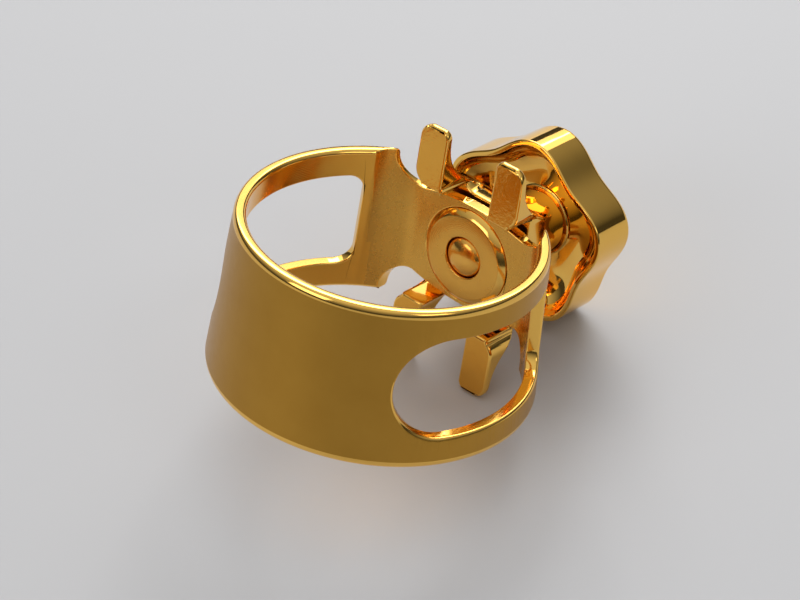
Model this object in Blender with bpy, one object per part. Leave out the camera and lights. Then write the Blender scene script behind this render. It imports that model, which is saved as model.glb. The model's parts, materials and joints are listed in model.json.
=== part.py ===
"""Saxophone ligature: a rigid tapered ring, a four-legged claw plate and one clamping screw with a lobed knob.

Everything is drawn in the ring's own frame: +Z is the ring's axis, +X points out along the screw and the
ring's middle is the origin, in millimetres. One parent empty then lays the whole ligature down the way it
rests on a table: on the tips of its two lower legs and on the two lower lobes of its knob.
"""

import math

import bmesh
import bpy

MM = 0.001

# Ring
RING_HEIGHT = 16.4
RING_TOP_RADIUS = 15.0
RING_BOTTOM_RADIUS = 16.0
WALL = 1.3
RIM_ROUND_WIDTH = 0.4
RIM_ROUND_HEIGHT = 0.7
BORE_CHAMFER = 0.3

# Bridge: the wall the screw runs through, flat inside and outside
BRIDGE_INSIDE = 12.6
BRIDGE_OUTSIDE = 14.0
POCKET_HALF_WIDTH = 10.2
POCKET_CORNER = 4.0
NOTCH_HALF_WIDTH = 9.2
NOTCH_CORNER = 3.0
BRIDGE_HALF_HEIGHT = 5.5
BRIDGE_CROWN = 0.8

# Side windows: one end is a half circle, the other is square with small corners
WINDOW_HALF_HEIGHT = 5.2
WINDOW_ROUND_END = 135.0
WINDOW_SQUARE_END = 50.3
WINDOW_CORNER = 1.8

# Threaded bush, pressed into the bridge from the inside
BUSH_FACE = 12.05
BUSH_FACE_RADIUS = 4.4
BUSH_FLANGE_RADIUS = 5.0
BUSH_BARREL_RADIUS = 3.6
BUSH_SEAT_DEPTH = 0.35
BUSH_FIT = 0.02
SCREW_HOLE_RADIUS = 2.15
SCREW_HOLE_CHAMFER = 0.08

# Claw plate
HUB_INSIDE = 14.4
HUB_OUTSIDE = 17.2
HUB_BORE_RADIUS = 2.25
COUNTERBORE_RADIUS = 3.4
COUNTERBORE_DEPTH = 1.1
LEG_SPACING = 4.65
LEG_WIDTH = 3.4
LEG_FACE = 10.6
LEG_BACK = 11.4
LEG_FOOT = 6.3
LEG_TIP = 13.0
TIP_INNER_ROUND = 0.9
TIP_OUTER_ROUND = 1.5
FOOT_ROUND = 1.8
CLAW_GAP_BOTTOM = 5.75
CLAW_GAP_CORNER = 1.4
CLAW_WAIST = 5.6
ARM_TOP = 12.3
ARM_BOTTOM = 5.4
ARM_CURVE = 2.6

# Clamping screw, M4 x 0.7
SCREW_RADIUS = 2.05
SCREW_TIP = 11.6
SCREW_DOME = 0.9
SCREW_END = 24.6
GROOVE_RADIUS = 1.65
GROOVE_START = 14.45
GROOVE_END = 15.45

# Retaining ring in the screw's groove
CLIP_BORE_RADIUS = 1.95
CLIP_RADIUS = 3.0
CLIP_START = 14.75
CLIP_END = 15.15
CLIP_OPENING = 50.0

# Knob
KNOB_LOBES = 5
KNOB_RADIUS = 9.15
KNOB_WAVE = 0.73
KNOB_RIM = 21.1
KNOB_FRONT = 26.4
KNOB_EDGE = 0.7
KNOB_CROWN = 0.5
KNOB_LIP = 0.65
CUP_DEPTH = 3.3
CUP_FLOOR_RADIUS = 4.6
COLLAR_START = 17.5
COLLAR_RADIUS = 3.3
COLLAR_CHAMFER = 0.3
KNOB_BORE_RADIUS = 2.25
KNOB_BORE_END = 24.9
KNOB_SEGMENTS = 120


def clear_scene():
    for obj in list(bpy.data.objects):
        bpy.data.objects.remove(obj, do_unlink=True)


def gold(name, roughness):
    """A gold-plated brass finish."""
    material = bpy.data.materials.new(name)
    material.use_nodes = True
    shader = material.node_tree.nodes["Principled BSDF"]
    shader.inputs["Base Color"].default_value = (0.80, 0.52, 0.16, 1.0)
    shader.inputs["Metallic"].default_value = 1.0
    shader.inputs["Roughness"].default_value = roughness
    material.diffuse_color = (0.80, 0.52, 0.16, 1.0)
    return material


def new_object(name, bm, material, parent, smooth_angle=30.0):
    """An object from a mesh drawn in millimetres, smooth except where faces meet at a sharp angle."""
    bmesh.ops.scale(bm, vec=(MM, MM, MM), verts=bm.verts)
    bmesh.ops.recalc_face_normals(bm, faces=bm.faces)
    for face in bm.faces:
        face.smooth = True
    for edge in bm.edges:
        edge.smooth = edge.calc_face_angle(0.0) < math.radians(smooth_angle)
    mesh = bpy.data.meshes.new(name)
    bm.to_mesh(mesh)
    bm.free()
    if material:
        mesh.materials.append(material)
    obj = bpy.data.objects.new(name, mesh)
    bpy.context.scene.collection.objects.link(obj)
    obj.parent = parent
    return obj


def helper(name, bm, parent):
    """A shape that only cuts or joins, and isn't part of the ligature."""
    obj = new_object(name, bm, None, parent)
    obj.hide_render = True
    obj.display_type = "WIRE"
    return obj


def boolean(obj, operation, other):
    modifier = obj.modifiers.new(other.name, "BOOLEAN")
    modifier.operation = operation
    modifier.solver = "EXACT"
    modifier.object = other


def loft(loops):
    """A closed body through equal loops of points, with flat caps on the first and the last."""
    bm = bmesh.new()
    rows = [[bm.verts.new(point) for point in loop] for loop in loops]
    count = len(rows[0])
    for low, high in zip(rows, rows[1:]):
        for index in range(count):
            after = (index + 1) % count
            bm.faces.new((low[index], low[after], high[after], high[index]))
    bm.faces.new(rows[0])
    bm.faces.new(rows[-1])
    return bm


def closed_loft(loops):
    """A closed body through equal loops of points, where the last loop joins back to the first."""
    bm = bmesh.new()
    rows = [[bm.verts.new(point) for point in loop] for loop in loops]
    count = len(rows[0])
    for low, high in zip(rows, rows[1:] + rows[:1]):
        for index in range(count):
            after = (index + 1) % count
            bm.faces.new((low[index], low[after], high[after], high[index]))
    return bm


def lathe_x(profile, segments):
    """A solid of revolution round X. The profile lists (x, radius) along the axis."""
    turns = [2 * math.pi * step / segments for step in range(segments)]
    loops = [[(x, r * math.cos(a), r * math.sin(a)) for a in turns] for x, r in profile]
    return loft(loops)


def prism(outline, low, high, point):
    """An outline of (u, v) pairs pushed from low to high. point(u, v, w) places each corner."""
    return loft([[point(u, v, w) for u, v in outline] for w in (low, high)])


def arc(centre, radius, start, end, steps):
    """Points on an arc, with its angles in degrees."""
    points = []
    for step in range(steps + 1):
        angle = math.radians(start + (end - start) * step / steps)
        points.append((centre[0] + radius * math.cos(angle), centre[1] + radius * math.sin(angle)))
    return points


def ring_radius(z):
    """The outer radius of the tapered ring at a height."""
    middle = (RING_TOP_RADIUS + RING_BOTTOM_RADIUS) / 2
    slope = (RING_TOP_RADIUS - RING_BOTTOM_RADIUS) / RING_HEIGHT
    return middle + slope * z


def pocket_reach(angle):
    """How far the milled pocket reaches from the ring's axis in one direction: a flat floor with round corners."""
    across = abs(math.sin(angle))
    along = math.cos(angle)
    corner_x = BRIDGE_INSIDE - POCKET_CORNER
    corner_y = POCKET_HALF_WIDTH - POCKET_CORNER
    if across * BRIDGE_INSIDE <= along * corner_y:
        return BRIDGE_INSIDE / along
    if along * POCKET_HALF_WIDTH <= across * corner_x:
        return POCKET_HALF_WIDTH / across
    middle = along * corner_x + across * corner_y
    return middle + math.sqrt(middle**2 - corner_x**2 - corner_y**2 + POCKET_CORNER**2)


def ring_section(angle):
    """The ring's wall cut through at one angle, as (radius, z), with round outer rims and chamfered inner ones."""
    half = RING_HEIGHT / 2
    section = []
    for end in (-1, 1):
        for step in range(5):
            turn = math.radians(22.5 * step if end < 0 else 90 - 22.5 * step)
            inset = RIM_ROUND_WIDTH * (1 - math.sin(turn))
            drop = RIM_ROUND_HEIGHT * (1 - math.cos(turn))
            section.append((ring_radius(end * half) - inset, end * (half - drop)))
    outside = BRIDGE_OUTSIDE / max(math.cos(angle), 0.01)
    section = [(min(radius, outside), z) for radius, z in section]
    for z, widen in (
        (half, BORE_CHAMFER),
        (half - BORE_CHAMFER, 0),
        (BORE_CHAMFER - half, 0),
        (-half, BORE_CHAMFER),
    ):
        radius = ring_radius(z) - WALL + widen
        if math.cos(angle) > 0:
            radius = min(radius, BRIDGE_INSIDE / math.cos(angle))
            radius = max(radius, pocket_reach(angle))
        section.append((radius, z))
    return section


def ring_blank():
    """The whole ring before the notches and windows are cut. The steps are finer across the bridge."""
    turns = list(range(-54, 54, 1)) + list(range(54, 306, 3))
    loops = []
    for turn in turns:
        angle = math.radians(turn)
        wall = ring_section(angle)
        loops.append([(r * math.cos(angle), r * math.sin(angle), z) for r, z in wall])
    return closed_loft(loops)


def notch_cutter(side):
    """The notch that lets two legs pass the bridge, at the top (side 1) or at the bottom (side -1)."""
    flat = NOTCH_HALF_WIDTH - NOTCH_CORNER
    outline = []
    for step in range(9):
        y = flat * step / 8
        outline.append((y, BRIDGE_HALF_HEIGHT - BRIDGE_CROWN * (y / flat) ** 2))
    low = BRIDGE_HALF_HEIGHT - BRIDGE_CROWN
    outline += arc((flat, low + NOTCH_CORNER), NOTCH_CORNER, -90, 0, 8)[1:]
    outline.append((NOTCH_HALF_WIDTH, RING_HEIGHT / 2 + 1))
    whole = outline + [(-y, z) for y, z in reversed(outline[1:])]
    return prism(whole, 9.0, 18.0, lambda y, z, x: (x, y, side * z))


def window_cutter(side):
    """A side window, cut radially. side is 1 for +Y and -1 for -Y."""
    middle_radius = ring_radius(0) - WALL / 2
    half = WINDOW_HALF_HEIGHT
    round_end = math.radians(WINDOW_ROUND_END)
    square_end = math.radians(WINDOW_SQUARE_END)
    columns = []
    for step in range(17):
        turn = math.radians(6 + 84 * step / 16)
        columns.append((round_end - half * (1 - math.cos(turn)) / middle_radius, half * math.sin(turn)))
    for step in range(7):
        turn = math.radians(90 - 15 * step)
        back = WINDOW_CORNER * (1 - math.cos(turn))
        columns.append((square_end + back / middle_radius, half - WINDOW_CORNER * (1 - math.sin(turn))))
    outline = [(angle, height) for angle, height in columns]
    steps = 14
    first, last = outline[16], outline[17]
    for step in range(1, steps):
        share = step / steps
        outline.insert(16 + step, (first[0] + (last[0] - first[0]) * share, half))
    bm = bmesh.new()
    grid = []
    for angle, height in outline:
        column = []
        for radius in (11.0, 20.0):
            for z in (-height, height):
                place = (radius * math.cos(angle), side * radius * math.sin(angle), z)
                column.append(bm.verts.new(place))
        grid.append(column)
    for now, then in zip(grid, grid[1:]):
        for a, b in ((0, 1), (1, 3), (3, 2), (2, 0)):
            bm.faces.new((now[a], now[b], then[b], then[a]))
    for column in (grid[0], grid[-1]):
        bm.faces.new((column[0], column[1], column[3], column[2]))
    return bm


def bush_seat():
    """The stepped hole in the bridge that the bush is pressed into."""
    seat = BRIDGE_INSIDE + BUSH_SEAT_DEPTH
    profile = [
        (BRIDGE_INSIDE - 2, BUSH_FLANGE_RADIUS + BUSH_FIT),
        (seat + BUSH_FIT, BUSH_FLANGE_RADIUS + BUSH_FIT),
        (seat + BUSH_FIT, BUSH_BARREL_RADIUS + BUSH_FIT),
        (BRIDGE_OUTSIDE + 2, BUSH_BARREL_RADIUS + BUSH_FIT),
    ]
    return lathe_x(profile, 64)


def screw_hole():
    profile = [
        (BUSH_FACE - 1, SCREW_HOLE_RADIUS + 1 + SCREW_HOLE_CHAMFER),
        (BUSH_FACE + SCREW_HOLE_CHAMFER, SCREW_HOLE_RADIUS),
        (BRIDGE_OUTSIDE + 2, SCREW_HOLE_RADIUS),
    ]
    return lathe_x(profile, 48)


def build_bush(parent):
    """The round bush the screw turns in. Its thread is drawn as a plain bore."""
    seat = BRIDGE_INSIDE + BUSH_SEAT_DEPTH
    profile = [
        (BUSH_FACE, BUSH_FACE_RADIUS),
        (BRIDGE_INSIDE - 0.05, BUSH_FLANGE_RADIUS),
        (seat, BUSH_FLANGE_RADIUS),
        (seat, BUSH_BARREL_RADIUS),
        (BRIDGE_OUTSIDE, BUSH_BARREL_RADIUS),
    ]
    bush = new_object("threaded_bush", lathe_x(profile, 64), gold("turned_gold", 0.3), parent)
    boolean(bush, "DIFFERENCE", helper("cut_screw_hole", screw_hole(), parent))


def build_ring(parent):
    ring = new_object("ring_body", ring_blank(), gold("satin_gold", 0.35), parent)
    for name, side in (("top", 1), ("bottom", -1)):
        boolean(ring, "DIFFERENCE", helper("cut_notch_" + name, notch_cutter(side), parent))
    for name, side in (("left", 1), ("right", -1)):
        boolean(ring, "DIFFERENCE", helper("cut_window_" + name, window_cutter(side), parent))
    boolean(ring, "DIFFERENCE", helper("cut_bush_seat", bush_seat(), parent))


def claw_front():
    """The claw plate seen from the front, as (y, z): four legs round a hub, with a round-cornered gap between."""
    inner = LEG_SPACING - LEG_WIDTH / 2
    outer = LEG_SPACING + LEG_WIDTH / 2
    gap_corner = (inner - CLAW_GAP_CORNER, CLAW_GAP_BOTTOM + CLAW_GAP_CORNER)
    quarter = [(0.0, CLAW_GAP_BOTTOM)] + arc(gap_corner, CLAW_GAP_CORNER, -90, 0, 6)
    corner = (inner + TIP_INNER_ROUND, LEG_TIP - TIP_INNER_ROUND)
    quarter += arc(corner, TIP_INNER_ROUND, 180, 90, 4)
    quarter += arc((outer - TIP_OUTER_ROUND, LEG_TIP - TIP_OUTER_ROUND), TIP_OUTER_ROUND, 90, 0, 6)
    quarter += arc((outer - FOOT_ROUND, LEG_FOOT + FOOT_ROUND), FOOT_ROUND, 0, -60, 4)
    last_y, last_z = quarter[-1]
    for step in range(1, 9):
        share = step / 8
        bow = math.sin(share * math.pi / 2) ** 2
        quarter.append((last_y + (CLAW_WAIST - last_y) * bow, last_z * (1 - share)))
    lower = [(y, -z) for y, z in reversed(quarter[:-1])]
    half = quarter + lower
    return half + [(-y, z) for y, z in reversed(half[1:-1])]


def claw_side():
    """The claw plate seen from the side, as (x, z): a flat hub, feet over the bridge's edges, wedge-shaped legs."""
    reach = HUB_OUTSIDE - LEG_BACK
    rise = ARM_TOP - ARM_BOTTOM
    tip_round = (LEG_BACK - LEG_FACE) / 2
    upper = [(HUB_INSIDE, 0.0), (HUB_INSIDE, LEG_FOOT), (LEG_FACE, LEG_FOOT)]
    upper += arc((LEG_FACE + tip_round, LEG_TIP - tip_round), tip_round, 180, 0, 6)
    steps = 12
    for step in range(steps + 1):
        share = step / steps
        upper.append((LEG_BACK + reach * share**ARM_CURVE, ARM_TOP - rise * share))
    lower = [(x, -z) for x, z in reversed(upper[1:])]
    return upper + lower


def hub_bore():
    step = HUB_INSIDE + COUNTERBORE_DEPTH
    profile = [
        (HUB_INSIDE - 1, COUNTERBORE_RADIUS),
        (step, COUNTERBORE_RADIUS),
        (step, HUB_BORE_RADIUS),
        (HUB_OUTSIDE + 1, HUB_BORE_RADIUS),
    ]
    return lathe_x(profile, 48)


def build_claw(parent):
    front = prism(claw_front(), LEG_FACE - 1, HUB_OUTSIDE + 1, lambda y, z, x: (x, y, z))
    side = prism(claw_side(), -10, 10, lambda x, z, y: (x, y, z))
    claw = new_object("claw_plate", front, gold("cast_gold", 0.25), parent)
    boolean(claw, "INTERSECT", helper("keep_claw_side", side, parent))
    boolean(claw, "DIFFERENCE", helper("cut_hub_bore", hub_bore(), parent))


def build_screw(parent):
    """The screw, thread drawn as a plain cylinder, with its domed tip and the groove for the clip."""
    profile = []
    for step in range(6):
        angle = math.radians(12 + 78 * step / 5)
        profile.append((SCREW_TIP + SCREW_DOME * (1 - math.cos(angle)), SCREW_RADIUS * math.sin(angle)))
    profile += [
        (GROOVE_START, SCREW_RADIUS),
        (GROOVE_START, GROOVE_RADIUS),
        (GROOVE_END, GROOVE_RADIUS),
        (GROOVE_END, SCREW_RADIUS),
        (SCREW_END, SCREW_RADIUS),
    ]
    new_object("clamping_screw", lathe_x(profile, 40), gold("screw_gold", 0.15), parent)


def build_clip(parent):
    """The open retaining ring that keeps the claw plate on the screw."""
    half = CLIP_OPENING / 2
    outer = arc((0, 0), CLIP_RADIUS, -90 + half, 270 - half, 36)
    inner = arc((0, 0), CLIP_BORE_RADIUS, 270 - half, -90 + half, 36)
    body = prism(outer + inner, CLIP_START, CLIP_END, lambda y, z, x: (x, y, z))
    new_object("retaining_ring", body, gold("spring_gold", 0.3), parent)


def lobed_loop(x, radius, wave):
    """A loop round the screw axis with the knob's lobes, one of them straight up."""
    loop = []
    for step in range(KNOB_SEGMENTS):
        angle = 2 * math.pi * step / KNOB_SEGMENTS
        reach = radius + wave * math.cos(KNOB_LOBES * (angle - math.pi / 2))
        loop.append((x, reach * math.cos(angle), reach * math.sin(angle)))
    return loop


def knob_front():
    """The knob's rounded front edge, as (x, radius) from its side to its face."""
    edge = []
    for step in range(5):
        turn = math.radians(22.5 * step)
        x = KNOB_FRONT - KNOB_EDGE * (1 - math.sin(turn))
        edge.append((x, KNOB_RADIUS - KNOB_EDGE * (1 - math.cos(turn))))
    return edge


def knob_loops():
    """The knob's lobed outside from its rim to its face, which has a low crown."""
    profile = [(KNOB_RIM, KNOB_RADIUS)] + knob_front()
    for share in (0.75, 0.5, 0.25):
        rise = KNOB_CROWN * (1 - share**2)
        profile.append((KNOB_FRONT + rise, share * (KNOB_RADIUS - KNOB_EDGE)))
    return [lobed_loop(x, radius, KNOB_WAVE * radius / KNOB_RADIUS) for x, radius in profile]


def cup_cutter():
    """The hollow back of the knob, a cup whose wall follows the lobes and fades into a round floor."""
    rim = KNOB_RADIUS - KNOB_LIP
    loops = [lobed_loop(KNOB_RIM - 1, rim, KNOB_WAVE)]
    for step in range(7):
        share = step / 6
        depth = CUP_DEPTH * math.sin(share * math.pi / 2)
        radius = CUP_FLOOR_RADIUS + (rim - CUP_FLOOR_RADIUS) * math.cos(share * math.pi / 2)
        loops.append(lobed_loop(KNOB_RIM + depth, radius, KNOB_WAVE * (1 - 0.8 * share)))
    return loft(loops)


def collar():
    """The round collar in the middle of the cup, which bears on the claw plate."""
    profile = [
        (COLLAR_START, COLLAR_RADIUS - COLLAR_CHAMFER),
        (COLLAR_START + COLLAR_CHAMFER, COLLAR_RADIUS),
        (KNOB_RIM + CUP_DEPTH + 0.5, COLLAR_RADIUS),
    ]
    return lathe_x(profile, 48)


def build_knob(parent):
    knob = new_object("knob", loft(knob_loops()), gold("polished_gold", 0.06), parent)
    boolean(knob, "DIFFERENCE", helper("cut_cup", cup_cutter(), parent))
    boolean(knob, "UNION", helper("add_collar", collar(), parent))
    bore = lathe_x([(COLLAR_START - 1, KNOB_BORE_RADIUS), (KNOB_BORE_END, KNOB_BORE_RADIUS)], 40)
    boolean(knob, "DIFFERENCE", helper("cut_knob_bore", bore, parent))


def tilted(points, tilt):
    """Points (x, y, z) as (x, z) once the screw dips below level by the tilt."""
    cos, sin = math.cos(tilt), math.sin(tilt)
    return [(x * cos + z * sin, z * cos - x * sin) for x, y, z in points]


def rest_pose():
    """The tilt at which the lower leg tips and the knob's front edge touch the table, and the shift that puts
    the origin on the table under the middle of the ligature."""
    legs = [(x, 0.0, z) for x, z in claw_side()]
    wall = [(-radius, 0.0, z) for radius, z in ring_section(math.pi)]
    front = [point for loop in knob_loops() for point in loop]
    small, large = 0.0, math.radians(45)
    for _ in range(40):
        tilt = (small + large) / 2
        leg_height = min(z for x, z in tilted(legs, tilt))
        if leg_height < min(z for x, z in tilted(front, tilt)):
            small = tilt
        else:
            large = tilt
    back = min(x for x, z in tilted(wall, tilt))
    end = max(x for x, z in tilted(front, tilt))
    return tilt, (-(back + end) / 2, 0.0, -leg_height)


def main():
    clear_scene()
    assembly = bpy.data.objects.new("assembly", None)
    bpy.context.scene.collection.objects.link(assembly)
    tilt, shift = rest_pose()
    assembly.rotation_euler = (0, tilt, 0)
    assembly.location = [distance * MM for distance in shift]
    build_ring(assembly)
    build_bush(assembly)
    build_claw(assembly)
    build_screw(assembly)
    build_clip(assembly)
    build_knob(assembly)


main()
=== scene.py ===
"""Looks of the saxophone ligature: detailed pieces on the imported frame, gold finishes, light and camera.

Pieces are drawn in the ring's own frame in millimetres: +Z is the ring's axis, +X runs out along the
screw and the ring's middle is the origin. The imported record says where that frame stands.
"""

import json
import math

import bmesh
import bpy
from mathutils import Matrix, Vector


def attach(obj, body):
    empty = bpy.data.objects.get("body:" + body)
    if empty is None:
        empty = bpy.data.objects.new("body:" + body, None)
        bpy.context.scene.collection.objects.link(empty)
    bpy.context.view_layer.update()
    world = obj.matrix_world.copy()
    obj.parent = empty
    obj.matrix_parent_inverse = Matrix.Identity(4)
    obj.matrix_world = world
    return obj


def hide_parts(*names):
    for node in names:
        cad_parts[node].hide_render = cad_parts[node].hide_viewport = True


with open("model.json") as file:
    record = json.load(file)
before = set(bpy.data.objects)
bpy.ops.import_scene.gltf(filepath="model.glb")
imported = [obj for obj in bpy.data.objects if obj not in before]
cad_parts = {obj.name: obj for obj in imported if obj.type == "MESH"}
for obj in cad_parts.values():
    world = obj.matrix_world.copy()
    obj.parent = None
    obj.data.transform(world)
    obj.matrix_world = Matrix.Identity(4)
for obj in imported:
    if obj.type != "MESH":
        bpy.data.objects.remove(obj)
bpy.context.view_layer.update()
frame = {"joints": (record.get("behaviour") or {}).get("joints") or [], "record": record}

MM = 0.001

# Camera, as seen in the photograph: degrees, and millimetres from the ring's middle
CAMERA_AZIMUTH = -135.92
CAMERA_ELEVATION = 44.54
CAMERA_ROLL = -3.89
CAMERA_DISTANCE = 284.0
CAMERA_AIM = (1.08, -1.34, -0.16)
CAMERA_LENS = 135.0

# Ring
RING_HEIGHT = 16.4
RING_TOP_RADIUS = 15.0
RING_BOTTOM_RADIUS = 16.0
WALL = 1.3
RIM_ROUND_WIDTH = 0.4
RIM_ROUND_HEIGHT = 0.7
BORE_CHAMFER = 0.3
BRIDGE_INSIDE = 12.6
BRIDGE_OUTSIDE = 14.0
POCKET_HALF_WIDTH = 10.2
POCKET_CORNER = 4.0
NOTCH_HALF_WIDTH = 9.2
NOTCH_CORNER = 3.0
BRIDGE_HALF_HEIGHT = 5.5
BRIDGE_CROWN = 0.8
WINDOW_HALF_HEIGHT = 5.2
WINDOW_ROUND_END = 135.0
WINDOW_SQUARE_END = 50.3
WINDOW_CORNER = 1.8
EDGE = 0.14
WINDOW_EDGE = 0.3
ROW_HEIGHT = 5.0
RING_MERGE = 0.03
# A point this near a surface counts as lying on it
ON_WALL = 0.012

# Threaded bush
BUSH_FACE = 12.05
BUSH_FACE_RADIUS = 4.4
BUSH_FLANGE_RADIUS = 5.0
BUSH_BARREL_RADIUS = 3.6
BUSH_SEAT_DEPTH = 0.35
BUSH_FIT = 0.02
SCREW_HOLE_RADIUS = 2.15
SCREW_HOLE_CHAMFER = 0.08

# Claw plate
HUB_INSIDE = 14.4
HUB_OUTSIDE = 17.2
HUB_BORE_RADIUS = 2.25
COUNTERBORE_RADIUS = 3.4
COUNTERBORE_DEPTH = 1.1
LEG_SPACING = 4.65
LEG_WIDTH = 3.4
LEG_FACE = 10.6
LEG_BACK = 11.4
LEG_FOOT = 6.3
LEG_TIP = 13.0
TIP_INNER_ROUND = 0.9
TIP_OUTER_ROUND = 1.5
FOOT_ROUND = 1.8
CLAW_GAP_BOTTOM = 5.75
CLAW_GAP_CORNER = 1.4
CLAW_WAIST = 5.6
CLAW_EDGE = 0.26
CLAW_MERGE = 0.02
ARM_TOP = 12.3
ARM_BOTTOM = 5.4
ARM_CURVE = 2.6

# Screw and its retaining ring
SCREW_RADIUS = 2.05
SCREW_TIP = 11.6
SCREW_DOME = 0.9
SCREW_END = 24.6
GROOVE_RADIUS = 1.65
GROOVE_START = 14.45
GROOVE_END = 15.45
CLIP_BORE_RADIUS = 1.95
CLIP_RADIUS = 3.0
CLIP_START = 14.75
CLIP_END = 15.15
CLIP_OPENING = 50.0

# Knob
KNOB_LOBES = 5
KNOB_RADIUS = 9.15
KNOB_WAVE = 0.73
KNOB_RIM = 21.1
KNOB_FRONT = 26.4
KNOB_EDGE = 0.7
KNOB_CROWN = 0.5
KNOB_LIP = 0.65
LIP_ROUND = 0.18
CUP_DEPTH = 3.3
CUP_FLOOR_RADIUS = 4.6
CUP_FILLET = 0.5
COLLAR_START = 17.5
COLLAR_RADIUS = 3.3
COLLAR_CHAMFER = 0.3
KNOB_BORE_RADIUS = 2.25
KNOB_BORE_END = 24.9
BORE_EDGE = 0.2

# A Mix node has several sockets of one name. These are the numbers of those for colours.
MIX_COLOR_A = 6
MIX_COLOR_B = 7
MIX_COLOR_RESULT = 2


# ---------------------------------------------------------------- shapes


def ring_frame():
    """The matrix from the ring's own frame to the row's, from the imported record."""
    mounts = {mount["name"]: mount for mount in frame["record"]["mounts"]}
    bore = mounts["mouthpiece_bore"]
    slide = next(joint for joint in frame["joints"] if joint["type"] == "slide")
    along_screw = Vector(slide["axis"]).normalized()
    along_bore = Vector(bore["axis"]).normalized()
    across = along_bore.cross(along_screw)
    turn = Matrix((along_screw, across, along_bore)).transposed().to_4x4()
    return Matrix.Translation(Vector(bore["pos_m"])) @ turn


PLACE = ring_frame()


def new_object(name, bm):
    """An object with smooth faces, from a mesh drawn in the ring's frame in millimetres. It is scaled to
    metres and stays in the ring's frame until main() places it."""
    bmesh.ops.scale(bm, vec=(MM, MM, MM), verts=bm.verts)
    bmesh.ops.recalc_face_normals(bm, faces=bm.faces)
    for face in bm.faces:
        face.smooth = True
    mesh = bpy.data.meshes.new(name)
    bm.to_mesh(mesh)
    bm.free()
    obj = bpy.data.objects.new(name, mesh)
    bpy.context.scene.collection.objects.link(obj)
    return obj


def boolean(obj, operation, tool):
    """Cuts or keeps with the tool at once, and removes the tool."""
    modifier = obj.modifiers.new("boolean", "BOOLEAN")
    modifier.operation = operation
    modifier.solver = "EXACT"
    modifier.object = tool
    bpy.context.view_layer.update()
    graph = bpy.context.evaluated_depsgraph_get()
    mesh = bpy.data.meshes.new_from_object(obj.evaluated_get(graph))
    obj.modifiers.clear()
    obj.data = mesh
    bpy.data.objects.remove(tool)


def clean(obj, distance):
    """Merges points nearer than the distance in millimetres, and drops the slivers that leaves."""
    bm = bmesh.new()
    bm.from_mesh(obj.data)
    bmesh.ops.remove_doubles(bm, verts=bm.verts, dist=distance * MM)
    bmesh.ops.dissolve_degenerate(bm, edges=bm.edges, dist=0.1 * distance * MM)
    for face in bm.faces:
        face.smooth = True
    bm.to_mesh(obj.data)
    bm.free()


def round_edges(obj, width, segments=3, angle=35.0, material=-1):
    bevel = obj.modifiers.new("edges", "BEVEL")
    bevel.width = width * MM
    bevel.segments = segments
    bevel.limit_method = "ANGLE"
    bevel.angle_limit = math.radians(angle)
    bevel.use_clamp_overlap = False
    bevel.miter_outer = "MITER_ARC"
    bevel.material = material
    normals = obj.modifiers.new("normals", "WEIGHTED_NORMAL")
    normals.keep_sharp = True
    normals.weight = 60


def loft(loops, closed=False, strips=False):
    """A closed body through equal loops of points, with flat caps unless the last loop joins the first.
    With strips, each cap is a strip of faces between the first half of its loop and the second."""
    bm = bmesh.new()
    rows = [[bm.verts.new(point) for point in loop] for loop in loops]
    count = len(rows[0])
    pairs = zip(rows, rows[1:] + rows[:1]) if closed else zip(rows, rows[1:])
    for low, high in pairs:
        for index in range(count):
            after = (index + 1) % count
            bm.faces.new((low[index], low[after], high[after], high[index]))
    for row in () if closed else (rows[0], rows[-1]):
        if not strips:
            bm.faces.new(row)
            continue
        for index in range(count // 2 - 1):
            bm.faces.new((row[index], row[index + 1], row[-2 - index], row[-1 - index]))
    return bm


def lathe(profile, segments):
    """A solid of revolution round the screw axis. The profile lists (x, radius)."""
    turns = [2 * math.pi * step / segments for step in range(segments)]
    return loft([[(x, r * math.cos(a), r * math.sin(a)) for a in turns] for x, r in profile])


def prism(outline, low, high, point):
    """An outline of (u, v) pairs pushed from low to high. point(u, v, w) places each corner."""
    return loft([[point(u, v, w) for u, v in outline] for w in (low, high)])


def arc(centre, radius, start, end, steps):
    """Points on an arc, with its angles in degrees."""
    points = []
    for step in range(steps + 1):
        angle = math.radians(start + (end - start) * step / steps)
        points.append((centre[0] + radius * math.cos(angle), centre[1] + radius * math.sin(angle)))
    return points


def ring_radius(z):
    middle = (RING_TOP_RADIUS + RING_BOTTOM_RADIUS) / 2
    return middle + (RING_TOP_RADIUS - RING_BOTTOM_RADIUS) / RING_HEIGHT * z


def pocket_reach(angle):
    """How far the milled pocket reaches from the ring's axis: a flat floor with round corners."""
    across = abs(math.sin(angle))
    along = math.cos(angle)
    corner_x = BRIDGE_INSIDE - POCKET_CORNER
    corner_y = POCKET_HALF_WIDTH - POCKET_CORNER
    if across * BRIDGE_INSIDE <= along * corner_y:
        return BRIDGE_INSIDE / along
    if along * POCKET_HALF_WIDTH <= across * corner_x:
        return POCKET_HALF_WIDTH / across
    middle = along * corner_x + across * corner_y
    return middle + math.sqrt(middle**2 - corner_x**2 - corner_y**2 + POCKET_CORNER**2)


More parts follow.
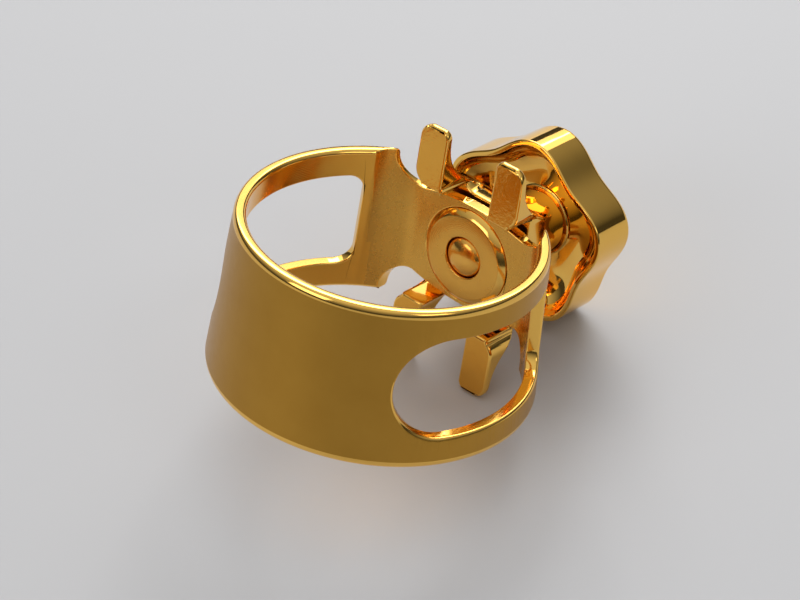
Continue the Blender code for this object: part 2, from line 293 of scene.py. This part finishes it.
def ring_section(angle):
    """The ring's wall at one angle, as (radius, z), with round outer rims and chamfered inner ones."""
    half = RING_HEIGHT / 2
    steps = 8
    section = []
    for end in (-1, 1):
        for step in range(steps + 1):
            turn = math.radians(90 * step / steps if end < 0 else 90 - 90 * step / steps)
            inset = RIM_ROUND_WIDTH * (1 - math.sin(turn))
            drop = RIM_ROUND_HEIGHT * (1 - math.cos(turn))
            section.append((ring_radius(end * half) - inset, end * (half - drop)))
    outside = BRIDGE_OUTSIDE / max(math.cos(angle), 0.01)
    section = [(min(radius, outside), z) for radius, z in section]
    for z, widen in (
        (half, BORE_CHAMFER),
        (half - BORE_CHAMFER, 0),
        (BORE_CHAMFER - half, 0),
        (-half, BORE_CHAMFER),
    ):
        radius = ring_radius(z) - WALL + widen
        if math.cos(angle) > 0:
            radius = min(radius, BRIDGE_INSIDE / math.cos(angle))
            radius = max(radius, pocket_reach(angle))
        section.append((radius, z))
    return section


def ring_blank():
    """The whole ring before the notches and windows are cut. The flat of the bridge needs no steps."""
    turns = list(range(-54, -20, 2)) + list(range(22, 54, 2)) + list(range(54, 306))
    loops = []
    for turn in turns:
        angle = math.radians(turn)
        section = ring_section(angle)
        wall = []
        for here, then in zip(section, section[1:] + section[:1]):
            parts = max(1, round(abs(then[1] - here[1]) / ROW_HEIGHT))
            for part in range(parts):
                share = part / parts
                wall.append((here[0] + (then[0] - here[0]) * share, here[1] + (then[1] - here[1]) * share))
        loops.append([(r * math.cos(angle), r * math.sin(angle), z) for r, z in wall])
    return loft(loops, closed=True)


def ring_normal(point):
    """The true direction of the ring's walls at a point on them, or None at an edge."""
    x, y, z = point
    half = RING_HEIGHT / 2
    radius = math.hypot(x, y)
    taper = (RING_BOTTOM_RADIUS - RING_TOP_RADIUS) / RING_HEIGHT
    cone = Vector((x / radius, y / radius, taper)).normalized()
    if abs(x - BRIDGE_OUTSIDE) < ON_WALL:
        return Vector((1, 0, 0))
    if abs(radius - ring_radius(z)) < ON_WALL and abs(z) <= half - RIM_ROUND_HEIGHT + ON_WALL:
        return cone
    if abs(x - BRIDGE_INSIDE) < ON_WALL and abs(y) < POCKET_HALF_WIDTH - POCKET_CORNER:
        return Vector((-1, 0, 0))
    corner = Vector((x - BRIDGE_INSIDE + POCKET_CORNER, abs(y) - POCKET_HALF_WIDTH + POCKET_CORNER, 0))
    if corner.x > 0 and corner.y > 0 and abs(corner.length - POCKET_CORNER) < ON_WALL:
        return Vector((-corner.x, -math.copysign(corner.y, y), 0)).normalized()
    if abs(radius - ring_radius(z) + WALL) < ON_WALL and abs(z) < half - BORE_CHAMFER + ON_WALL:
        return -cone
    return None


def settle(obj, normal_at):
    """Turns the modifiers into mesh, and gives points on the true walls the walls' true direction."""
    bpy.context.view_layer.update()
    graph = bpy.context.evaluated_depsgraph_get()
    mesh = bpy.data.meshes.new_from_object(obj.evaluated_get(graph))
    obj.modifiers.clear()
    obj.data = mesh
    normals = []
    for vertex in mesh.vertices:
        normals.append(normal_at(vertex.co / MM) or vertex.normal)
    mesh.normals_split_custom_set_from_vertices(normals)


def notch_cutter(side):
    """The notch that lets two legs pass the bridge, at the top (side 1) or at the bottom (side -1)."""
    flat = NOTCH_HALF_WIDTH - NOTCH_CORNER
    outline = []
    for step in range(13):
        y = flat * step / 12
        outline.append((y, BRIDGE_HALF_HEIGHT - BRIDGE_CROWN * (y / flat) ** 2))
    low = BRIDGE_HALF_HEIGHT - BRIDGE_CROWN
    outline += arc((flat, low + NOTCH_CORNER), NOTCH_CORNER, -90, 0, 14)[1:]
    outline.append((NOTCH_HALF_WIDTH, RING_HEIGHT / 2 + 1))
    whole = outline + [(-y, z) for y, z in reversed(outline[1:])]
    return prism(whole, 9.0, 18.0, lambda y, z, x: (x, y, side * z))


def window_outline():
    """A side window as (angle, height) pairs, upper half only, from its round end to its square end."""
    middle_radius = ring_radius(0) - WALL / 2
    half = WINDOW_HALF_HEIGHT
    round_end = math.radians(WINDOW_ROUND_END)
    square_end = math.radians(WINDOW_SQUARE_END)
    outline = []
    for step in range(25):
        turn = math.radians(3 + 87 * step / 24)
        outline.append((round_end - half * (1 - math.cos(turn)) / middle_radius, half * math.sin(turn)))
    corner_start = square_end + WINDOW_CORNER / middle_radius
    first = outline[-1][0]
    for step in range(1, 24):
        outline.append((first + (corner_start - first) * step / 24, half))
    for step in range(10):
        turn = math.radians(90 - 10 * step)
        back = WINDOW_CORNER * (1 - math.cos(turn))
        outline.append((square_end + back / middle_radius, half - WINDOW_CORNER * (1 - math.sin(turn))))
    return outline


def window_cutter(side):
    """A side window, cut radially, flaring at the outside and a little at the bore to leave rounded edges.
    side is 1 for +Y and -1 for -Y."""
    middle_radius = ring_radius(0) - WALL / 2
    flare = [(-WALL - 2, 2), (-WALL - 0.15, 0.15), (-WALL, 0.06), (-WALL + 0.15, 0)]
    for step in range(6):
        turn = math.radians(14 * step)
        flare.append((-WINDOW_EDGE * (1 - math.sin(turn)), WINDOW_EDGE * (1 - math.cos(turn))))
    flare.append((flare[-1][0] + 0.3, flare[-1][1] + 0.8))
    half = [(angle * middle_radius, height) for angle, height in window_outline()]
    outline = half + [(u, -v) for u, v in reversed(half)]
    count = len(outline)
    loops = []
    for index, (u, v) in enumerate(outline):
        before, after = outline[index - 1], outline[(index + 1) % count]
        out = Vector((after[1] - before[1], before[0] - after[0])).normalized()
        loop = []
        for rise, widen in flare:
            angle = (u + out.x * widen) / middle_radius
            z = v + out.y * widen
            radius = ring_radius(z) + rise
            loop.append((radius * math.cos(angle), side * radius * math.sin(angle), z))
        loops.append(loop)
    rows = [[loop[level] for loop in loops] for level in range(len(flare))]
    return loft(rows, strips=True)


def bush_seat():
    seat = BRIDGE_INSIDE + BUSH_SEAT_DEPTH
    profile = [
        (BRIDGE_INSIDE - 2, BUSH_FLANGE_RADIUS + BUSH_FIT),
        (seat + BUSH_FIT, BUSH_FLANGE_RADIUS + BUSH_FIT),
        (seat + BUSH_FIT, BUSH_BARREL_RADIUS + BUSH_FIT),
        (BRIDGE_OUTSIDE + 2, BUSH_BARREL_RADIUS + BUSH_FIT),
    ]
    return lathe(profile, 96)


def ring_faces(obj):
    """Gives each face of the ring its finish: 0 satin outside, whose colour carries painted shade, 1
    polished, 2 bore, 3 milled pocket.
    """
    half = RING_HEIGHT / 2
    for face in obj.data.polygons:
        x, y, z = face.center / MM
        radial = Vector((x, y, 0)).normalized()
        outward = face.normal.dot(radial)
        if outward > 0.9 and abs(z) < half - RIM_ROUND_HEIGHT:
            face.material_index = 0
        elif outward < -0.6 and x > BRIDGE_INSIDE - POCKET_CORNER - 0.2 and abs(y) < POCKET_HALF_WIDTH:
            face.material_index = 3
        elif outward < -0.9:
            face.material_index = 2
        else:
            face.material_index = 1


def make_ring():
    ring = new_object("Ligature_ring", ring_blank())
    for side in (1, -1):
        boolean(ring, "DIFFERENCE", new_object("tool", notch_cutter(side)))
        boolean(ring, "DIFFERENCE", new_object("tool", window_cutter(side)))
    boolean(ring, "DIFFERENCE", new_object("tool", bush_seat()))
    clean(ring, RING_MERGE)
    for material in (satin_gold(), polished_gold("Ring_polished", 0.10), bore_gold(), milled_gold()):
        ring.data.materials.append(material)
    ring_faces(ring)
    round_edges(ring, EDGE, material=1)
    settle(ring, ring_normal)
    return ring


def make_bush():
    seat = BRIDGE_INSIDE + BUSH_SEAT_DEPTH
    profile = [
        (BUSH_FACE + SCREW_HOLE_CHAMFER, SCREW_HOLE_RADIUS),
        (BUSH_FACE, SCREW_HOLE_RADIUS + SCREW_HOLE_CHAMFER),
        (BUSH_FACE, BUSH_FACE_RADIUS - 0.1),
        (BUSH_FACE + 0.03, BUSH_FACE_RADIUS),
        (BRIDGE_INSIDE - 0.05, BUSH_FLANGE_RADIUS),
        (seat, BUSH_FLANGE_RADIUS),
        (seat, BUSH_BARREL_RADIUS),
        (BRIDGE_OUTSIDE, BUSH_BARREL_RADIUS),
        (BRIDGE_OUTSIDE, SCREW_HOLE_RADIUS),
    ]
    turns = [2 * math.pi * step / 144 for step in range(144)]
    loops = [[(x, r * math.cos(a), r * math.sin(a)) for a in turns] for x, r in profile]
    bush = new_object("Threaded_bush", loft(loops, closed=True))
    bush.data.materials.append(turned_gold())
    bush.data.materials.append(polished_gold("Bush_polished", 0.12))
    for face in bush.data.polygons:
        face.material_index = 0 if abs(face.normal.x) > 0.95 else 1
    round_edges(bush, 0.05, 2, angle=30)
    return bush


def claw_front():
    """The claw plate seen from the front, as (y, z): four legs round a hub, with round-bottomed gaps."""
    inner = LEG_SPACING - LEG_WIDTH / 2
    outer = LEG_SPACING + LEG_WIDTH / 2
    gap_corner = (inner - CLAW_GAP_CORNER, CLAW_GAP_BOTTOM + CLAW_GAP_CORNER)
    quarter = [(0.0, CLAW_GAP_BOTTOM)] + arc(gap_corner, CLAW_GAP_CORNER, -90, 0, 10)
    corner = (inner + TIP_INNER_ROUND, LEG_TIP - TIP_INNER_ROUND)
    quarter += arc(corner, TIP_INNER_ROUND, 180, 90, 8)
    quarter += arc((outer - TIP_OUTER_ROUND, LEG_TIP - TIP_OUTER_ROUND), TIP_OUTER_ROUND, 90, 0, 12)
    quarter += arc((outer - FOOT_ROUND, LEG_FOOT + FOOT_ROUND), FOOT_ROUND, 0, -60, 8)
    last_y, last_z = quarter[-1]
    for step in range(1, 13):
        share = step / 12
        bow = math.sin(share * math.pi / 2) ** 2
        quarter.append((last_y + (CLAW_WAIST - last_y) * bow, last_z * (1 - share)))
    lower = [(y, -z) for y, z in reversed(quarter[:-1])]
    half = quarter + lower
    return half + [(-y, z) for y, z in reversed(half[1:-1])]


def claw_side():
    """The claw plate from the side, as (x, z): a flat hub, feet over the bridge, wedge-shaped legs."""
    reach = HUB_OUTSIDE - LEG_BACK
    rise = ARM_TOP - ARM_BOTTOM
    tip_round = (LEG_BACK - LEG_FACE) / 2
    upper = [(HUB_INSIDE, 0.0), (HUB_INSIDE, LEG_FOOT), (LEG_FACE, LEG_FOOT)]
    upper += arc((LEG_FACE + tip_round, LEG_TIP - tip_round), tip_round, 180, 0, 10)
    for step in range(25):
        share = step / 24
        upper.append((LEG_BACK + reach * share**ARM_CURVE, ARM_TOP - rise * share))
    lower = [(x, -z) for x, z in reversed(upper[1:])]
    return upper + lower


def make_claw():
    front = prism(claw_front(), LEG_FACE - 1, HUB_OUTSIDE + 1, lambda y, z, x: (x, y, z))
    claw = new_object("Claw_plate", front)
    side = new_object("tool", prism(claw_side(), -10, 10, lambda x, z, y: (x, y, z)))
    boolean(claw, "INTERSECT", side)
    step = HUB_INSIDE + COUNTERBORE_DEPTH
    profile = [
        (HUB_INSIDE - 1, COUNTERBORE_RADIUS),
        (step, COUNTERBORE_RADIUS),
        (step, HUB_BORE_RADIUS),
        (HUB_OUTSIDE + 1, HUB_BORE_RADIUS),
    ]
    boolean(claw, "DIFFERENCE", new_object("tool", lathe(profile, 72)))
    clean(claw, CLAW_MERGE)
    claw.data.materials.append(polished_gold("Claw_polished", 0.09))
    claw.data.materials.append(cast_gold())
    for face in claw.data.polygons:
        on_pad = face.normal.x < -0.9 and face.center.x / MM < LEG_FACE + 0.3
        face.material_index = 1 if on_pad else 0
    round_edges(claw, CLAW_EDGE, 4, angle=40, material=0)
    return claw


def make_screw():
    """The screw with its domed tip and the groove for the retaining ring."""
    profile = []
    for step in range(13):
        angle = math.radians(3 + 87 * step / 12)
        profile.append((SCREW_TIP + SCREW_DOME * (1 - math.cos(angle)), SCREW_RADIUS * math.sin(angle)))
    profile += [
        (GROOVE_START, SCREW_RADIUS),
        (GROOVE_START, GROOVE_RADIUS),
        (GROOVE_END, GROOVE_RADIUS),
        (GROOVE_END, SCREW_RADIUS),
        (SCREW_END, SCREW_RADIUS),
    ]
    screw = new_object("Clamping_screw", lathe(profile, 96))
    screw.data.materials.append(tip_gold())
    round_edges(screw, 0.04, 2)
    return screw


def make_clip():
    half = CLIP_OPENING / 2
    outer = arc((0, 0), CLIP_RADIUS, -90 + half, 270 - half, 72)
    inner = arc((0, 0), CLIP_BORE_RADIUS, 270 - half, -90 + half, 72)
    body = prism(outer + inner, CLIP_START, CLIP_END, lambda y, z, x: (x, y, z))
    clip = new_object("Retaining_ring", body)
    clip.data.materials.append(polished_gold("Clip_gold", 0.3))
    round_edges(clip, 0.05, 2)
    return clip


def lobed_loop(x, radius, wave, segments=240):
    """A loop round the screw axis with the knob's lobes, one of them straight up."""
    loop = []
    for step in range(segments):
        angle = 2 * math.pi * step / segments
        reach = radius + wave * math.cos(KNOB_LOBES * (angle - math.pi / 2))
        loop.append((x, reach * math.cos(angle), reach * math.sin(angle)))
    return loop


def knob_profile():
    """The knob's loops as (x, radius, wave), from its bore's end, round the cup and lip, to its face."""
    floor = KNOB_RIM + CUP_DEPTH
    rim = KNOB_RADIUS - KNOB_LIP
    profile = [
        (KNOB_BORE_END, KNOB_BORE_RADIUS, 0),
        (COLLAR_START + BORE_EDGE, KNOB_BORE_RADIUS, 0),
        (COLLAR_START, KNOB_BORE_RADIUS + BORE_EDGE, 0),
    ]
    collar_edge = (COLLAR_START + COLLAR_CHAMFER, COLLAR_RADIUS - COLLAR_CHAMFER)
    for x, r in arc(collar_edge, COLLAR_CHAMFER, 180, 90, 5):
        profile.append((x, r, 0))
    for x, r in arc((floor - CUP_FILLET, COLLAR_RADIUS + CUP_FILLET), CUP_FILLET, -90, 0, 6):
        profile.append((x, r, 0))
    steps = 20
    for step in range(steps, 0, -1):
        share = step / steps
        turn = share * math.pi / 2
        radius = CUP_FLOOR_RADIUS + (rim - CUP_FLOOR_RADIUS) * math.cos(turn)
        profile.append((KNOB_RIM + CUP_DEPTH * math.sin(turn), radius, KNOB_WAVE * (1 - 0.8 * share)))
    for x, r in arc((KNOB_RIM + LIP_ROUND, rim + LIP_ROUND), LIP_ROUND, 270, 180, 4):
        profile.append((x, r, KNOB_WAVE))
    for x, r in arc((KNOB_RIM + LIP_ROUND, KNOB_RADIUS - LIP_ROUND), LIP_ROUND, 180, 90, 4):
        profile.append((x, r, KNOB_WAVE))
    for x, r in arc((KNOB_FRONT - KNOB_EDGE, KNOB_RADIUS - KNOB_EDGE), KNOB_EDGE, 90, 0, 10):
        profile.append((x, r, KNOB_WAVE * r / KNOB_RADIUS))
    for step in range(11, 0, -1):
        share = step / 12
        radius = share * (KNOB_RADIUS - KNOB_EDGE)
        profile.append((KNOB_FRONT + KNOB_CROWN * (1 - share**2), radius, KNOB_WAVE * radius / KNOB_RADIUS))
    return profile


def make_knob():
    knob = new_object("Knob", loft([lobed_loop(x, radius, wave) for x, radius, wave in knob_profile()]))
    knob.data.materials.append(polished_gold("Knob_polished", 0.06))
    normals = knob.modifiers.new("normals", "WEIGHTED_NORMAL")
    normals.keep_sharp = True
    return knob


# ---------------------------------------------------------------- finishes


def node(tree, kind, inputs=None, **settings):
    """A shader node with its settings, and its inputs either linked from a socket or set to a value."""
    made = tree.nodes.new(kind)
    for name, value in settings.items():
        setattr(made, name, value)
    for name, value in (inputs or {}).items():
        if isinstance(value, bpy.types.NodeSocket):
            tree.links.new(value, made.inputs[name])
        else:
            made.inputs[name].default_value = value
    return made


def ring_place(tree):
    """Where a point lies in the ring's own frame, in metres."""
    point = node(tree, "ShaderNodeTexCoord").outputs["Object"]
    inputs = {"Vector": point, "Location": PLACE.translation, "Rotation": PLACE.to_euler()}
    return node(tree, "ShaderNodeMapping", inputs, vector_type="TEXTURE").outputs["Vector"]


def gold(name, color, shade, roughness, spread, bump):
    """A gold finish that varies between two colours and two roughnesses. bump(tree, place) gives its
    relief as (height socket, depth in millimetres)."""
    material = bpy.data.materials.new(name)
    material.use_nodes = True
    tree = material.node_tree
    shader = tree.nodes["Principled BSDF"]
    shader.inputs["Metallic"].default_value = 1.0
    place = ring_place(tree)
    blotch = node(tree, "ShaderNodeTexNoise", {"Vector": place, "Scale": 260.0, "Detail": 3.0})
    tint = node(tree, "ShaderNodeMix", {"Factor": blotch.outputs["Fac"]}, data_type="RGBA")
    tint.inputs[MIX_COLOR_A].default_value = color + (1.0,)
    tint.inputs[MIX_COLOR_B].default_value = shade + (1.0,)
    tree.links.new(tint.outputs[MIX_COLOR_RESULT], shader.inputs["Base Color"])
    fine = node(tree, "ShaderNodeTexNoise", {"Vector": place, "Scale": 1400.0, "Detail": 4.0})
    rough = node(
        tree,
        "ShaderNodeMapRange",
        {"Value": fine.outputs["Fac"], "To Min": roughness - spread, "To Max": roughness + spread},
    )
    tree.links.new(rough.outputs["Result"], shader.inputs["Roughness"])
    height, depth = bump(tree, place)
    relief = node(tree, "ShaderNodeBump", {"Height": height, "Distance": depth * MM, "Strength": 1.0})
    tree.links.new(relief.outputs["Normal"], shader.inputs["Normal"])
    return material


def polished_gold(name, roughness):
    def bump(tree, place):
        swell = node(tree, "ShaderNodeTexNoise", {"Vector": place, "Scale": 350.0, "Detail": 1.0})
        return swell.outputs["Fac"], 0.012

    return gold(name, (1.0, 0.61, 0.14), (0.98, 0.56, 0.11), roughness, 0.02, bump)


def satin_gold():
    """The fine blasted outside of the ring. Its roughness is the real satin. Its colour is painted shade:
    far darker than the plating's own gold, to stand in for the dark surroundings that the wall reflects.
    """

    def bump(tree, place):
        grain = node(tree, "ShaderNodeTexNoise", {"Vector": place, "Scale": 9000.0, "Detail": 2.0})
        return grain.outputs["Fac"], 0.006

    # painted shade: both colours are darkened well below the plating's own gold to stand in for dark
    # reflections on the satin wall
    return gold("Ring_satin_painted_shade", (0.56, 0.30, 0.048), (0.49, 0.25, 0.036), 0.33, 0.05, bump)


def bore_gold():
    """The turned bore, with faint rings round it."""

    def bump(tree, place):
        lines = node(
            tree,
            "ShaderNodeTexWave",
            {"Vector": place, "Scale": 1500.0, "Distortion": 1.0, "Detail": 2.0},
            bands_direction="Z",
        )
        return lines.outputs["Fac"], 0.003

    return gold("Ring_bore", (0.95, 0.50, 0.08), (0.86, 0.42, 0.06), 0.15, 0.04, bump)


def milled_gold():
    """The milled pocket: fine strokes along the bridge."""

    def bump(tree, place):
        stretch = node(tree, "ShaderNodeMapping", {"Vector": place, "Scale": (1.0, 0.03, 1.0)})
        strokes = node(
            tree, "ShaderNodeTexNoise", {"Vector": stretch.outputs["Vector"], "Scale": 6000.0, "Detail": 3.0}
        )
        return strokes.outputs["Fac"], 0.006

    return gold("Ring_milled", (0.80, 0.44, 0.085), (0.70, 0.36, 0.06), 0.27, 0.05, bump)


def turned_gold():
    """The bush's face, with fine turning rings round the screw."""

    def bump(tree, place):
        rings = node(
            tree,
            "ShaderNodeTexWave",
            {"Vector": place, "Scale": 1600.0, "Distortion": 0.4, "Detail": 2.0},
            wave_type="RINGS",
            rings_direction="X",
        )
        return rings.outputs["Fac"], 0.004

    return gold("Bush_turned", (0.86, 0.47, 0.09), (0.78, 0.40, 0.07), 0.26, 0.04, bump)


def cast_gold():
    """The legs' pads, with the grain of the casting under the plating."""

    def bump(tree, place):
        grain = node(tree, "ShaderNodeTexNoise", {"Vector": place, "Scale": 2600.0, "Detail": 3.0})
        return grain.outputs["Fac"], 0.03

    return gold("Claw_cast", (0.92, 0.48, 0.08), (0.82, 0.39, 0.055), 0.17, 0.05, bump)


def tip_gold():
    def bump(tree, place):
        dents = node(tree, "ShaderNodeTexNoise", {"Vector": place, "Scale": 1800.0, "Detail": 2.0})
        return dents.outputs["Fac"], 0.015

    return gold("Screw_gold", (0.94, 0.52, 0.11), (0.86, 0.44, 0.08), 0.2, 0.05, bump)


# ---------------------------------------------------------------- floor, light and camera


def make_floor():
    bpy.ops.mesh.primitive_plane_add(size=4.0, location=(0, 0, 0))
    floor = bpy.context.object
    floor.name = "Floor"
    material = bpy.data.materials.new("Floor_pale")
    material.use_nodes = True
    shader = material.node_tree.nodes["Principled BSDF"]
    shader.inputs["Base Color"].default_value = (0.52, 0.52, 0.53, 1.0)
    shader.inputs["Roughness"].default_value = 0.6
    floor.data.materials.append(material)


def area_light(name, azimuth, elevation, distance, size, power, color=(1.0, 1.0, 1.0)):
    """A soft square light that looks at the object, its place in degrees and metres."""
    light = bpy.data.lights.new(name, "AREA")
    light.shape = "RECTANGLE"
    light.size, light.size_y = size
    light.energy = power
    light.color = color
    obj = bpy.data.objects.new(name, light)
    bpy.context.scene.collection.objects.link(obj)
    a, e = math.radians(azimuth), math.radians(elevation)
    place = Vector((math.cos(a) * math.cos(e), math.sin(a) * math.cos(e), math.sin(e))) * distance
    obj.location = place
    obj.rotation_euler = (-place).to_track_quat("-Z", "Y").to_euler()
    return obj


def make_light():
    """A wide softbox behind and above with a brighter middle, two weaker fills, and a dome that is bright
    overhead and dim at the horizon."""
    world = bpy.data.worlds.new("Studio")
    world.use_nodes = True
    tree = world.node_tree
    direction = node(tree, "ShaderNodeTexCoord").outputs["Generated"]
    height = node(tree, "ShaderNodeSeparateXYZ", {"Vector": direction}).outputs["Z"]
    glow = node(
        tree,
        "ShaderNodeMapRange",
        {"Value": height, "From Min": 0.15, "From Max": 0.9, "To Min": 0.05, "To Max": 0.65},
    )
    background = tree.nodes["Background"]
    background.inputs["Color"].default_value = (1.0, 1.0, 1.0, 1.0)
    tree.links.new(glow.outputs["Result"], background.inputs["Strength"])
    bpy.context.scene.world = world
    bpy.context.scene.view_settings.view_transform = "Standard"
    area_light("Key", 36, 38, 1.0, (1.2, 0.9), 4.5)
    area_light("Key_core", 34, 36, 0.95, (0.6, 0.45), 4.5)
    area_light("Side", 165, 30, 1.0, (0.5, 0.5), 1.6)
    area_light("Front", -95, 35, 1.2, (0.5, 0.3), 0.8)


def make_camera():
    azimuth = math.radians(CAMERA_AZIMUTH)
    elevation = math.radians(CAMERA_ELEVATION)
    away = Vector(
        (
            math.cos(azimuth) * math.cos(elevation),
            math.sin(azimuth) * math.cos(elevation),
            math.sin(elevation),
        )
    )
    aim = PLACE.translation + Vector(CAMERA_AIM) * MM
    level = (-away).to_track_quat("-Z", "Y").to_matrix().to_4x4()
    camera = bpy.data.cameras.new("Camera")
    camera.lens = CAMERA_LENS
    camera.sensor_width = 36.0
    camera.clip_start = 0.01
    obj = bpy.data.objects.new("Camera", camera)
    bpy.context.scene.collection.objects.link(obj)
    spin = Matrix.Rotation(math.radians(CAMERA_ROLL), 4, "Z")
    obj.matrix_world = Matrix.Translation(aim + away * CAMERA_DISTANCE * MM) @ level @ spin
    bpy.context.scene.camera = obj


def main():
    make_camera()
    make_floor()
    make_light()
    pieces = (
        (make_ring, "ring", "ring_body", "satin_gold"),
        (make_bush, "ring", "threaded_bush", "turned_gold"),
        (make_claw, "claw", "claw_plate", "cast_gold"),
        (make_screw, "screw", "clamping_screw", "screw_gold"),
        (make_clip, "screw", "retaining_ring", "spring_gold"),
        (make_knob, "screw", "knob", "polished_gold"),
    )
    for make, body, cad_node, slot in pieces:
        piece = make()
        piece.data.transform(PLACE)
        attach(piece, body)
        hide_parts(cad_node)


main()
